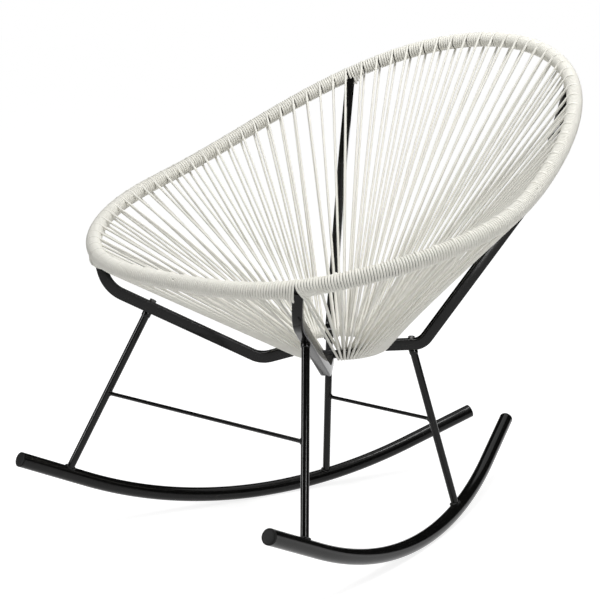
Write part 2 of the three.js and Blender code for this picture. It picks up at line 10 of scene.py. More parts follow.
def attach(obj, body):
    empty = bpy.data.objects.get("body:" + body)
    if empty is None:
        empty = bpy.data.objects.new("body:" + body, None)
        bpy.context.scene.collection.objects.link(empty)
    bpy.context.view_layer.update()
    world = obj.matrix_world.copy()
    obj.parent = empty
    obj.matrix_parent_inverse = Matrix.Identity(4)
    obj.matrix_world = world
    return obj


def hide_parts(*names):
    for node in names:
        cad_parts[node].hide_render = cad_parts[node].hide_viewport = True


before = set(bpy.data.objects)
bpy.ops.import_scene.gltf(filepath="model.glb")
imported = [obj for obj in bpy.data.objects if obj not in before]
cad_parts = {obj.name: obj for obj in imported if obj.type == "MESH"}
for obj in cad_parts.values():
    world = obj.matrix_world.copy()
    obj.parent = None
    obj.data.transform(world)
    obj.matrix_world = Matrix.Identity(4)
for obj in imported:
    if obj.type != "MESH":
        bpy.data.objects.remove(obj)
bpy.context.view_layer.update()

TAU = 2 * np.pi
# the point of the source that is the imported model's zero
MIDDLE = np.array([0.0, -38.56, 0.0])

# the rim's centre line, as waves across, along and up, and its tube, drawn a little thin so that the windings
# cover it
RIM_ACROSS = [405.8, -19.7, 14.3, -12.4, -0.7]
RIM_ALONG = [377.7, -40.3, 18.0, -12.9, -7.2]
RIM_RISE = [162.1, -37.4, 18.2, -5.5, -2.4]
RIM_MID_Y, RIM_MID_Z = -53.4, 600.2
RIM_TUBE, RIM_THINNER = 19.0, 1.0

# the small ring at the bottom of the seat: its rod, its size from rod middle to rod middle, its tilt
RING_ROD, RING_SIZE, RING_TILT = 14.0, 162.0, 0.0623
RING_MID = np.array([0.0, -23.3, 316.8])
RING_UP = np.array([0.0, -math.sin(RING_TILT), math.cos(RING_TILT)])
# where the front and the rear bow meet it, turned from its front; how far below its middle they end; and the
# length of ring that each keeps clear of loops on either side
RING_MEETS, RING_DROP, RING_CLEAR = (0.5655, 2.204), 6.0, (14.5, 11.8)

# the cord: its thickness, its radius where the windings press it flat and where it is free, the loops round
# the whole rim, the turns between two loops, and the loops before which its four lengths begin
CORD, WOUND_RADIUS, STRAND_RADIUS = 4.0, 1.98, 2.2
SPOKES, TURNS = 86, 7
CORD_ENDS = (0, 22, 43, 64, SPOKES)
# the loops of one side: in front of the front bow, between the bows, behind the rear bow
SIDE_LOOPS = (7, 23, 13)
# centre line of the windings round the rim's, pressed onto the tube, and of a loop round the rod's, just clear
WIND, HOLD = (RIM_TUBE + CORD) / 2 - 0.2, (RING_ROD + CORD) / 2 + 0.1
# how far the two strands of a loop pass each other along the ring's rod
LOOP_PASS = 0.9
# points in a turn of the windings and in a loop, and sides of the cord
TURN_STEPS, LOOP_STEPS, CORD_SIDES = 22, 12, 10
# over the last share of a turn before it leaves, a strand thickens and lifts by so much; it thins again over the
# first share of a turn after it comes back
STRAND_LIFT, LAST_SHARE, FIRST_SHARE = 1.5, 1 / 3.4, 1 / 6

# how the windings part at a bow: a wedge pushes them on and back, dies away over its reach, and is widest turned
# outwards by an angle from straight below; at the rear bows it is a share of that, and a push moves them all on
WEDGE_ON, WEDGE_BACK, WEDGE_REACH, WEDGE_TURN = 10.0, -6.5, 45.0, 0.25
REAR_WEDGE, REAR_PUSH = 0.4, 6.0
# how they ride up on its edge, at the front and rear bows: how high, how far before it, over what length, and
# turned outwards by what angle from straight below
RIDE_UP, RIDE_BEFORE, RIDE_REACH, RIDE_TURN = (9.0, 10.0), (5.0, 7.0), 9.0, (0.45, -0.3)
# how far the passes on the rim's inner side spread to fill the place of the missing one
CLOSE_UP = 1.6

# the bows of the right side: their bar and its corners' radius, where they leave the rim and how far from its
# centre line they start, their bends, and the bends' radii
BOW_WIDE, BOW_TALL, BOW_CORNER = 19.0, 16.0, 2.2
BOW_TURNS, BOW_START = (0.629, 2.599), 6.0
BOW_BENDS = {"front": ([[215.8, -350.3, 427.2], [75.2, -133.0, 294.3]], (60.0, 45.0)),
             "rear": ([[228.4, 239.9, 588.0], [106.4, 73.4, 314.8]], (60.0, 28.0))}
# the beads above and below a bow's end on the ring: out from the rod's middle, up from it, and radius
UPPER_BEAD, LOWER_BEAD = (6.9, 1.9, 1.9), (0.5, -7.3, 1.5)

# the rockers: radius of the arc, its turns to the front and rear, and the straight ends
ROCKER_TUBE, ROCKER_RADIUS, ROCKER_HALF_GAP = 25.0, 862.0, 190.3
ROCKER_SPLAY, ROCKER_LEAN = 0.2802, 0.2888
ROCKER_TURN, ROCKER_TAIL = (0.442, 0.349), (134.0, 142.5)

# the legs of the right side: foot on the rocker's centre line, middle of the bow above, and the bow's up; and how
# deep the legs reach into the rockers and the stretchers into the legs
LEG_ROD, STRETCHER_ROD = 13.0, 6.5
LEG_SUNK, STRETCHER_SUNK = 3.0, 1.5
LEGS = {"front": ((274.85, -396.5, 107.59), (177.56, -291.19, 391.05), (-0.272, 0.368, 0.889)),
        "rear": ((154.15, 116.2, 20.78), (94.68, 59.58, 314.51), (-0.009, -0.013, 1.0))}
# how far up the legs the stretchers are
STRETCHER_SHARE = {"front": 0.489, "rear": 0.549}
# the beads at the feet and at the stretchers' ends: radius and ripples
FOOT_BEAD, STRETCHER_BEAD = (2.3, 26), (1.6, 16)
# washer and bolt head as pairs of radius and height above the bow
WASHER = [(0.2, 0), (6.0, 0), (6.25, 0.25), (6.25, 1.2), (6.0, 1.45), (0.2, 1.45)]
BOLT_HEAD = [(0.2, 1.5), (4.9, 1.5), (5.75, 1.8), (5.75, 5.0), (5.0, 5.6), (0.2, 5.6)]
SIDES = ((1, "right"), (-1, "left"))


# ---------------------------------------------------------------- shapes

def unit(a):
    """Each vector divided by its length."""
    a = np.asarray(a, float)
    return a / np.linalg.norm(a, axis=-1, keepdims=True)


def dot(a, b):
    """Row by row dot product, kept as a column."""
    return np.sum(a * b, axis=-1, keepdims=True)


def carry(path, normal, section, closed=False):
    """A section of (side, up) pairs carried along a path: point = path + side * (tangent x normal) + up * normal,
    with the normal made square to the path. Gives a grid of stations by section points."""
    path = np.asarray(path, float)
    if closed:
        tangent = unit(np.roll(path, -1, 0) - np.roll(path, 1, 0))
    else:
        ahead = unit(np.diff(path, axis=0))
        tangent = unit(np.vstack([ahead[:1], ahead[:-1] + ahead[1:], ahead[-1:]]))
    normal = np.broadcast_to(np.asarray(normal, float), path.shape)
    normal = unit(normal - tangent * dot(tangent, normal))
    side = np.cross(tangent, normal)
    return path[:, None] + side[:, None] * section[None, :, :1] + normal[:, None] * section[None, :, 1:]


def carry_swelling(path, normal, sides, radius):
    """A round section carried along a path, with its own radius at each station."""
    grid = carry(path, normal, circle(1.0, sides)) - path[:, None]
    return path[:, None] + grid * radius[:, None, None]


def circle(radius, sides):
    """Points (radius cos a, radius sin a) round a circle."""
    a = np.arange(sides) * TAU / sides
    return radius * np.stack([np.cos(a), np.sin(a)], 1)


def soft_bar(width, height, corner, steps=4):
    """A rectangle whose corners are quarter circles of the given radius about points that far inside it."""
    a = (np.arange(4)[:, None] + np.linspace(0, 1, steps + 1)[None]) * TAU / 4
    b = (np.arange(4)[:, None] + 0.5) * TAU / 4
    return np.stack([np.sign(np.cos(b)) * (width / 2 - corner) + corner * np.cos(a),
                     np.sign(np.sin(b)) * (height / 2 - corner) + corner * np.sin(a)], 2).reshape(-1, 2)


def lathe(at, axis, profile, sides):
    """A profile of (radius, height) pairs turned about an axis through a point."""
    axis = unit(axis)
    side = unit(np.cross(axis, [0.31, 0.95, 0.07]))
    other = np.cross(axis, side)
    a = np.arange(sides) * TAU / sides
    ring = np.cos(a)[:, None] * side + np.sin(a)[:, None] * other
    profile = np.asarray(profile, float)
    return np.asarray(at, float) + profile[:, None, :1] * ring[None] + profile[:, None, 1:] * axis


def skin(name, grids, material, closed=False, sharp=40, replaces=()):
    """One piece from grids of points. Neighbours in a grid make quads, the section wraps round on itself, and
    open ends get flat lids. The UV map holds millimetres along the grid and the share of the turn round it."""
    points, faces, uvs, base = [], [], [], 0
    for grid in grids:
        m, n = grid.shape[:2]
        i, j = np.meshgrid(np.arange(m if closed else m - 1), np.arange(n), indexing="ij")
        k, l = (i + 1) % m, (j + 1) % n
        faces += (np.stack([i * n + j, i * n + l, k * n + l, k * n + j], 2).reshape(-1, 4) + base).tolist()
        middle = grid.mean(1)
        run = np.concatenate([[0], np.cumsum(np.linalg.norm(np.diff(middle, axis=0, append=middle[:1]), axis=1))])
        corners = [(run[i], j / n), (run[i], (j + 1) / n), (run[i + 1], (j + 1) / n), (run[i + 1], j / n)]
        uvs.append(np.stack([np.stack(corner, 2) for corner in corners], 2).reshape(-1, 2))
        if not closed:
            faces += [(base + np.arange(n)[::-1]).tolist(), (base + (m - 1) * n + np.arange(n)).tolist()]
            uvs.append(np.zeros((2 * n, 2)))
        points.append(grid.reshape(-1, 3))
        base += m * n
    mesh = bpy.data.meshes.new(name)
    mesh.from_pydata((np.vstack(points) - MIDDLE) / 1000, [], faces)
    layer = mesh.uv_layers.new(name="run")
    layer.data.foreach_set("uv", np.vstack(uvs).astype(np.float32).ravel())
    mesh.polygons.foreach_set("use_smooth", np.ones(len(faces), bool))
    mesh.update()
    if inside_out(mesh):
        mesh.flip_normals()
    mesh.set_sharp_from_angle(angle=math.radians(sharp))
    piece = bpy.data.objects.new(name, mesh)
    bpy.context.scene.collection.objects.link(piece)
    mesh.materials.append(material)
    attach(piece, "root")
    if replaces:
        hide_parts(*replaces)


def inside_out(mesh):
    """True where the signed volume under the triangles is negative."""
    mesh.calc_loop_triangles()
    tri = np.empty(len(mesh.loop_triangles) * 3, np.int32)
    mesh.loop_triangles.foreach_get("vertices", tri)
    co = np.empty(len(mesh.vertices) * 3)
    mesh.vertices.foreach_get("co", co)
    a, b, c = co.reshape(-1, 3)[tri.reshape(-1, 3)].transpose(1, 0, 2)
    return np.sum(a * np.cross(b, c)) < 0


# ---------------------------------------------------------------- materials

def material(name, **values):
    """A material whose Principled BSDF holds the given plain values."""
    mat = bpy.data.materials.new(name)
    mat.use_nodes = True
    shader = mat.node_tree.nodes["Principled BSDF"]
    for key, value in values.items():
        shader.inputs[key.replace("_", " ")].default_value = value
    return mat, mat.node_tree, shader


def node(tree, kind, links=(), **settings):
    """A node with its settings, its inputs linked or set from pairs of (input, socket or value)."""
    n = tree.nodes.new(kind)
    for key, value in settings.items():
        setattr(n, key, value)
    for key, value in links:
        if isinstance(value, bpy.types.NodeSocket):
            tree.links.new(value, n.inputs[key])
        else:
            n.inputs[key].default_value = value
    return n


def fine_grain():
    """Noise of a given size on Object coordinates, as a mask, and as a bump on the surface."""
    g = bpy.data.node_groups.new("Fine grain", "ShaderNodeTree")
    for key, value in (("Size per m", 900.0), ("Depth", 0.1), ("Detail", 2.0)):
        g.interface.new_socket(name=key, in_out="INPUT", socket_type="NodeSocketFloat").default_value = value
    for key, kind in (("Mask", "NodeSocketFloat"), ("Normal", "NodeSocketVector")):
        g.interface.new_socket(name=key, in_out="OUTPUT", socket_type=kind)
    a, b = g.nodes.new("NodeGroupInput"), g.nodes.new("NodeGroupOutput")
    where = node(g, "ShaderNodeTexCoord")
    noise = node(g, "ShaderNodeTexNoise", [("Vector", where.outputs["Object"]), ("Scale", a.outputs["Size per m"]),
                                           ("Detail", a.outputs["Detail"])])
    bump = node(g, "ShaderNodeBump", [("Height", noise.outputs["Fac"]), ("Strength", a.outputs["Depth"]),
                                      ("Distance", 0.0004)])
    g.links.new(noise.outputs["Fac"], b.inputs["Mask"])
    g.links.new(bump.outputs["Normal"], b.inputs["Normal"])
    return g


GRAIN = fine_grain()


def grained(tree, size, depth, detail):
    """The fine grain group with its own values: its bump and its mask."""
    n = tree.nodes.new("ShaderNodeGroup")
    n.node_tree = GRAIN
    n.inputs["Size per m"].default_value = size
    n.inputs["Depth"].default_value = depth
    n.inputs["Detail"].default_value = detail
    return n.outputs["Normal"], n.outputs["Mask"]


def between(tree, mask, low, high):
    """The mask from 0.3 to 0.7 spread over low to high."""
    return node(tree, "ShaderNodeMapRange", [("Value", mask), ("From Min", 0.3), ("From Max", 0.7),
                                             ("To Min", low), ("To Max", high)]).outputs["Result"]


def blend(tree, mask, low, high):
    """Colour between low and high by the mask."""
    n = node(tree, "ShaderNodeMix", data_type="RGBA")
    tree.links.new(mask, n.inputs["Factor"])
    a, b = [s for s in n.inputs if s.type == "RGBA"]
    a.default_value, b.default_value = (*low, 1), (*high, 1)
    return [s for s in n.outputs if s.type == "RGBA"][0]


def surface(tree, shader, normal, rough, colour):
    """Links a bump, a roughness from (mask, low, high) and a colour from (mask, low, high) to the shader."""
    tree.links.new(normal, shader.inputs["Normal"])
    tree.links.new(between(tree, *rough), shader.inputs["Roughness"])
    tree.links.new(blend(tree, *colour), shader.inputs["Base Color"])


def powder_coat():
    """Gloss black stove enamel with a faint orange peel and broad dull patches."""
    mat, tree, shader = material("Gloss black powder coat", Specular_IOR_Level=0.21)
    peel, _ = grained(tree, 420.0, 0.07, 1.0)
    _, patch = grained(tree, 22.0, 0.0, 3.0)
    surface(tree, shader, peel, (patch, 0.08, 0.14), (patch, (0.004, 0.004, 0.004), (0.008, 0.008, 0.0075)))
    return mat


def cord_vinyl():
    """Off-white extruded vinyl: fine die lines along the cord, slow changes of shade, a soft sheen."""
    mat, tree, shader = material("Off-white vinyl cord", Specular_IOR_Level=0.22)
    _, patch = grained(tree, 35.0, 0.0, 3.0)
    uv = node(tree, "ShaderNodeUVMap", uv_map="run")
    stretch = node(tree, "ShaderNodeMapping", [("Vector", uv.outputs["UV"]), ("Scale", (0.02, 24.0, 1.0))])
    lines = node(tree, "ShaderNodeTexNoise", [("Vector", stretch.outputs["Vector"]), ("Scale", 1.0), ("Detail", 2.0)])
    bump = node(tree, "ShaderNodeBump", [("Height", lines.outputs["Fac"]), ("Strength", 0.03), ("Distance", 0.0001)])
    surface(tree, shader, bump.outputs["Normal"], (lines.outputs["Fac"], 0.38, 0.5),
            (patch, (0.80, 0.785, 0.72), (0.84, 0.83, 0.775)))
    return mat


def moulded_black():
    """Black moulded plastic with a fine spark texture."""
    mat, tree, shader = material("Black moulded plastic", Specular_IOR_Level=0.12)
    spark, mask = grained(tree, 1600.0, 0.25, 3.0)
    surface(tree, shader, spark, (mask, 0.42, 0.58), (mask, (0.006, 0.006, 0.006), (0.009, 0.009, 0.009)))
    return mat


def black_oxide():
    """Blackened steel of the bolts, a little brighter where it is handled."""
    mat, tree, shader = material("Black oxide steel", Metallic=0.9)
    wear, mask = grained(tree, 500.0, 0.08, 4.0)
    surface(tree, shader, wear, (mask, 0.16, 0.3), (mask, (0.07, 0.07, 0.07), (0.13, 0.128, 0.125)))
    return mat


PAINT, VINYL, PLUG, OXIDE = powder_coat(), cord_vinyl(), moulded_black(), black_oxide()


# ---------------------------------------------------------------- rim, ring and cord

def rim_point(turn):
    """x = sum a_i sin(i turn), y = middle - sum b_i cos(i turn), z = middle - sum c_i cos(i turn)."""
    t = np.asarray(turn, float)[..., None] * np.arange(1, 6)
    return np.stack([np.sin(t) @ RIM_ACROSS, RIM_MID_Y - np.cos(t) @ RIM_ALONG, RIM_MID_Z - np.cos(t) @ RIM_RISE], -1)


# the rim's turns against its length from the front middle, the length between two loops, and the bows' places
FINE = np.linspace(0, TAU, 5761)
RUN = np.concatenate([[0], np.cumsum(np.linalg.norm(np.diff(rim_point(FINE), axis=0), axis=1))])
RIM_NORMAL = unit(np.cross(rim_point(TAU / 4) - rim_point(0.0), rim_point(TAU / 2) - rim_point(0.0)))
PITCH = RUN[-1] / SPOKES
BOW_RUNS = np.interp(np.mod(np.array([*BOW_TURNS, -BOW_TURNS[1], -BOW_TURNS[0]]), TAU), FINE, RUN)


def rim_frame(run):
    """Centre, direction along, direction out and direction up at a length along the rim from the front middle."""
    turn = np.interp(np.mod(run, RUN[-1]), RUN, FINE)
    along = unit(rim_point(turn + 0.001) - rim_point(turn - 0.001))
    out = unit(np.cross(along, RIM_NORMAL))
    return rim_point(turn), along, out, np.cross(out, along)


def ring_out(angle):
    """Direction out from the ring's middle, turned from the front."""
    along = np.cross(RING_UP, [1.0, 0, 0])
    angle = np.asarray(angle, float)[..., None]
    return np.sin(angle) * np.array([1.0, 0, 0]) - np.cos(angle) * along


def loop_angles():
    """Places of the loops round the ring: even steps over what the ends of the four bows leave free."""
    p, q = (clear / (RING_SIZE / 2) for clear in RING_CLEAR)
    a, b = RING_MEETS
    ahead, beside, behind = SIDE_LOOPS
    front = (a - p) / (ahead - 0.5) * (np.arange(ahead) + 0.5)
    side = np.linspace(a + p, b - q, beside)
    rear = np.pi - (np.pi - b - q) / (behind - 0.5) * (np.arange(behind)[::-1] + 0.5)
    half = np.concatenate([front, side, rear])
    return np.concatenate([half, TAU - half[::-1]])


def from_bow(run):
    """For each length along the rim, the nearest bow's place and the signed distance from it."""
    d = np.mod(run[..., None] - BOW_RUNS + RUN[-1] / 2, RUN[-1]) - RUN[-1] / 2
    near = np.argmin(np.abs(d), axis=-1)
    return BOW_RUNS[near], np.take_along_axis(d, near[..., None], -1)[..., 0]


def part_windings(run, turn):
    """How the windings make room for a bow's end, as a move along the rim and a lift away from it. The nearest gap
    between two packs opens as a wedge, which is widest about straight below, goes with a power of a cosine round
    the rim, and dies away along it as an exponential; at a front bow it also moves over the bow. The last windings
    before the bow ride up on its edge, as a bell along the rim times a power of a cosine round it. On the rim's
    inner side a pack has one pass fewer: there the passes spread evenly over its width, from loop to loop."""
    bow, d = from_bow(run)
    slit = (np.round(bow / PITCH - 0.5) + 0.5) * PITCH
    off = d + bow - slit
    front = np.abs(np.mod(bow + RUN[-1] / 2, RUN[-1]) - RUN[-1] / 2) < RUN[-1] / 4
    below = (1 + np.cos(turn + TAU / 4 + WEDGE_TURN)) / 2
    wedge = np.where(off > 0, WEDGE_ON, WEDGE_BACK) * below ** 2.2
    move = np.where(front, wedge + (bow - slit) * below ** 1.5, REAR_WEDGE * wedge + REAR_PUSH)
    move = move * np.exp(-np.abs(off) / WEDGE_REACH)
    under = (1 + np.cos(turn + TAU / 4 + np.where(front, *RIDE_TURN))) / 2
    bell = np.exp(-((off + np.where(front, *RIDE_BEFORE)) / RIDE_REACH) ** 2)
    lift = np.where(front, *RIDE_UP) * bell * under ** 6
    share = np.mod(run / PITCH, 1) - 0.5
    inner = ((1 + np.cos(turn)) / 2) ** 2
    return move - CLOSE_UP * (np.sign(share) - 2 * share) * inner, lift


def touch(target, across, up, radius, side):
    """Angle on a circle, from across to up, where the tangent towards a target leaves it: the target's own angle,
    and on the given side of it the angle whose cosine is radius / distance."""
    x, y = dot(target, across)[:, 0], dot(target, up)[:, 0]
    return np.arctan2(y, x) + side * np.arccos(radius / np.hypot(x, y))


def cord_path():
    """The whole cord: for each loop, seven turns as an even helix round the rim, then straight down to the ring,
    half round its rod and straight back to the next turn of the same helix. Every straight stretch leaves both
    circles along their tangents. Gives the turns, at each point of them the direction away from the rim's centre
    and how free the cord is (0 pressed, 1 free), and the loops with the direction away from the rod's centre."""
    slit = (np.arange(SPOKES) + 0.5) * PITCH
    angle = loop_angles()
    out, tangent = ring_out(angle), np.cross(RING_UP, ring_out(angle))
    rods = RING_MID + out * RING_SIZE / 2

    def leave(run, target, side):
        """Where a winding leaves the rim, from inwards to up, towards a target, on its upper or lower side."""
        at, _, o, up = rim_frame(run)
        return touch(target - at, -o, up, WIND, side)

    # turns: from under the rim after one loop to over the rim before the next
    upper_run, lower_run = slit - PITCH / TURNS / 4, slit + PITCH / TURNS / 4
    lower_moved = lower_run + part_windings(lower_run, np.full(SPOKES, -TAU / 4))[0]
    up_angle = leave(upper_run, rods + RING_UP * HOLD, 1)
    low_angle = leave(lower_moved, rods - RING_UP * HOLD, -1)
    start_run, start_angle = np.roll(lower_run, 1), np.roll(low_angle, 1)
    start_run[0] -= RUN[-1]
    u = np.linspace(0, 1, TURNS * TURN_STEPS + 1)[None]
    run = start_run[:, None] + (upper_run - start_run)[:, None] * u
    turn = start_angle[:, None] + (up_angle - TAU * TURNS - start_angle)[:, None] * u
    move, lift = part_windings(run, turn)
    late = np.clip(1 + (u - 1) * TURNS / LAST_SHARE, 0, 1)
    early = np.clip(1 - u * TURNS / FIRST_SHARE, 0, 1)
    lift = lift + STRAND_LIFT * late ** 2 * (3 - 2 * late)
    free = np.maximum(np.maximum(late, early), ((1 + np.cos(turn)) / 2) ** 1.5)
    at, _, o, up = rim_frame((run + move).ravel())
    away = np.cos(turn.ravel())[:, None] * -o + np.sin(turn.ravel())[:, None] * up
    turns = (at + away * (WIND + lift.ravel())[:, None]).reshape(SPOKES, -1, 3)
    # loops round the ring's rod, from out to up
    comes = touch(turns[:, -1] - rods, out, RING_UP, HOLD, 1)
    goes = touch(np.roll(turns[:, 0], -1, axis=0) - rods, out, RING_UP, HOLD, -1) + TAU
    v = np.linspace(0, 1, LOOP_STEPS + 1)[None]
    b = comes[:, None] + (goes - comes)[:, None] * v
    from_rod = np.cos(b)[..., None] * out[:, None] + np.sin(b)[..., None] * RING_UP
    loops = rods[:, None] + from_rod * HOLD + tangent[:, None] * ((v - 0.5) * LOOP_PASS)[..., None]
    return turns, away.reshape(SPOKES, -1, 3), free, loops, from_rod


def make_cord():
    """The cord in four lengths, parted in the middle of the packs where the source parts them. Each takes the
    place of a quarter of the windings and of three fans."""
    turns, away, free, loops, from_rod = cord_path()
    half = turns.shape[1] // 2
    names = ("front_right", "rear_right", "rear_left", "front_left")
    for i, (name, first, last) in enumerate(zip(names, CORD_ENDS, CORD_ENDS[1:])):
        path, normal, share = [turns[first, half:]], [away[first, half:]], [free[first, half:]]
        for k in range(first, last):
            n = (k + 1) % SPOKES
            stop = half + 1 if k == last - 1 else None
            path += [loops[k], turns[n, :stop]]
            normal += [from_rod[k], away[n, :stop]]
            share += [np.ones(len(loops[k])), free[n, :stop]]
        radius = WOUND_RADIUS + (STRAND_RADIUS - WOUND_RADIUS) * np.concatenate(share)
        skin("cord_" + name, [carry_swelling(np.vstack(path), np.vstack(normal), CORD_SIDES, radius)], VINYL,
             sharp=180, replaces=["rim_wrap_" + name] + ["seat_cords_%d" % (3 * i + f) for f in (1, 2, 3)])


def make_rim():
    """A round tube along the rim's centre line, and the small ring's rod."""
    stations = 4 * SPOKES
    at, _, _, up = rim_frame(np.arange(stations) * RUN[-1] / stations)
    skin("rim_hoop", [carry(at, up, circle((RIM_TUBE - RIM_THINNER) / 2, 24), closed=True)], PAINT,
         closed=True, replaces=["rim_tube"])
    out = ring_out(np.arange(120) * TAU / 120)
    skin("small_ring", [carry(RING_MID + out * RING_SIZE / 2, RING_UP, circle(RING_ROD / 2, 24), closed=True)],
         PAINT, closed=True, replaces=["seat_ring"])


# ---------------------------------------------------------------- bows

def rounded(corners, radii, steps=10):
    """A path of straight lines whose corners are arcs: each arc runs between the tangent points at
    radius / tan(half the corner's angle), as sines of the shares of the turn."""
    out = [corners[:1]]
    for before, p, after, radius in zip(corners, corners[1:], corners[2:], radii):
        u, w = unit(before - p), unit(after - p)
        half = np.arccos(np.clip(u @ w, -1, 1)) / 2
        centre = p + unit(u + w) * radius / np.sin(half)
        a, b = p + u * radius / np.tan(half) - centre, p + w * radius / np.tan(half) - centre
        turn = np.pi - 2 * half
        f = np.linspace(0, 1, steps + 1)[:, None]
        out.append(centre + (a * np.sin((1 - f) * turn) + b * np.sin(f * turn)) / np.sin(turn))
    out.append(corners[-1:])
    return np.vstack(out)


def weld_run(path, size, seed):
    """A rippled bead laid along a path on the ring, thin at its two ends: a circle whose radius is the size times
    (1 - (2t - 1)^6)^(1/2) and two sine ripples of t."""
    t = np.linspace(0, 1, len(path))
    swell = np.sqrt(np.maximum(1 - (2 * t - 1) ** 6, 0.02))
    swell = swell * (1 + 0.15 * np.sin(t * 37 + seed) + 0.08 * np.sin(t * 61 + 2 * seed))
    return carry_swelling(path, RING_UP, 10, size * swell)


def make_bows():
    """Rounded bars from the rim to the outside of the small ring, each welded to the ring above and below. A right
    front bow and a left rear bow lie in one upright plane, square to the given direction across: the bar's 19 mm
    lie in that plane and its 16 mm across it."""
    line = rim_point(-BOW_TURNS[1]) - rim_point(BOW_TURNS[0])
    across = {"front": unit(np.cross(line, [0, 0, 1.0])), "rear": unit(np.cross(line * [-1, 1, 1], [0, 0, 1.0]))}
    section = soft_bar(BOW_WIDE, BOW_TALL, BOW_CORNER)
    for place, turn, meets in zip(("front", "rear"), BOW_TURNS, RING_MEETS):
        bends, radii = BOW_BENDS[place]
        start = rim_point(turn)
        start = start + unit(bends[0] - start) * BOW_START
        stop = RING_MID + ring_out(meets) * RING_SIZE / 2 - RING_UP * RING_DROP
        path = rounded(np.vstack([start, bends, stop]), radii)
        turns = meets + np.linspace(-1, 1, 40) * (BOW_WIDE / 2 - 1) / (RING_SIZE / 2 + RING_ROD / 2)
        upper, lower = (RING_MID + ring_out(turns) * (RING_SIZE / 2 + out) + RING_UP * up
                        for out, up, _ in (UPPER_BEAD, LOWER_BEAD))
        for side, name in SIDES:
            flip = np.array([side, 1, 1])
            skin("bow_%s_%s_bar" % (place, name), [carry(path * flip, across[place] * flip, section)],
                 PAINT, sharp=60, replaces=["bow_%s_%s" % (place, name)])
            skin("ring_bead_%s_%s" % (place, name), [weld_run(upper * flip, UPPER_BEAD[2], side + meets),
                                                     weld_run(lower * flip, LOWER_BEAD[2], meets - side)],
                 PAINT)


# ---------------------------------------------------------------- rockers, legs, stretchers

def rocker_path(side):
    """Straight, then an arc in a plane that is splayed to the front and leans inwards, then straight."""
    back = np.array([-np.sin(ROCKER_SPLAY), np.cos(ROCKER_SPLAY), 0])
    outward = np.array([np.cos(ROCKER_SPLAY), np.sin(ROCKER_SPLAY), 0])
    up = np.array([0, 0, np.cos(ROCKER_LEAN)]) - outward * np.sin(ROCKER_LEAN)
    a = np.linspace(-ROCKER_TURN[0], ROCKER_TURN[1], 60)[:, None]
    arc = back * ROCKER_RADIUS * np.sin(a) + up * ROCKER_RADIUS * (1 - np.cos(a))
    first = arc[0] - (back * np.cos(a[0]) + up * np.sin(a[0])) * ROCKER_TAIL[0]
    last = arc[-1] + (back * np.cos(a[-1]) + up * np.sin(a[-1])) * ROCKER_TAIL[1]
    path = np.vstack([first, arc, last]) + [ROCKER_HALF_GAP, 0, ROCKER_TUBE / 2]
    normal = outward * np.cos(ROCKER_LEAN) + np.array([0, 0, np.sin(ROCKER_LEAN)])
    return path * [side, 1, 1], normal * [side, 1, 1]


def make_rockers():
    """Round tubes, and in each end a plug with a lip over the tube's edge and a low dome."""
    r = ROCKER_TUBE / 2
    a = np.linspace(0, TAU / 4, 7)
    dome = np.stack([0.2 + (r - 1.6) * np.cos(a), 2.4 + 0.8 * np.sin(a)], 1)
    plug = [(0.3, 0.25), (r - 0.7, 0.25), (r - 0.15, 0.7), (r - 0.1, 1.7), (r - 0.6, 2.3), *dome.tolist()]
    for side, name in SIDES:
        path, normal = rocker_path(side)
        skin("rocker_tube_" + name, [carry(path, normal, circle(r, 40))], PAINT,
             replaces=["rocker_" + name])
        for where, p, q in (("front", path[0], path[1]), ("rear", path[-1], path[-2])):
            skin("end_plug_%s_%s" % (where, name), [lathe(p, unit(p - q), plug, 40)], PLUG,
                 replaces=["rocker_plug_%s_%s" % (where, name)])


def weld_bead(at, axis, radius, base_axis, base_radius, size, ripples, seed):
    """A rippled bead round a rod where it meets a round tube whose centre line it starts on: for each angle round
    the rod, the height where the rod's surface meets the tube's, from the quadratic of a line and a cylinder,
    carries a small circle."""
    axis, base_axis = unit(axis), unit(base_axis)
    a = np.arange(96) * TAU / 96
    side = unit(np.cross(axis, base_axis))
    away = np.cos(a)[:, None] * side + np.sin(a)[:, None] * np.cross(axis, side)
    start = np.asarray(at, float) + away * (radius + size * 0.25)
    o = start - at
    o = o - base_axis * dot(o, base_axis)
    d = axis - base_axis * (axis @ base_axis)
    qa, qb, qc = d @ d, (o @ d), dot(o, o)[:, 0] - (base_radius + size * 0.2) ** 2
    t = (-qb + np.sqrt(np.maximum(qb ** 2 - qa * qc, 0))) / qa
    path = start + axis * t[:, None]
    ripple = 1 + 0.13 * np.sin(a * ripples + seed) + 0.05 * np.sin(a * 5 + seed * 2)
    tangent = unit(np.roll(path, -1, 0) - np.roll(path, 1, 0))
    up = unit(axis - tangent * dot(tangent, np.broadcast_to(axis, tangent.shape)))
    across = np.cross(tangent, up)
    ring = circle(1.0, 8)[None]
    ring = across[:, None] * ring[..., :1] + up[:, None] * ring[..., 1:]
    return path[:, None] + size * ripple[:, None, None] * ring


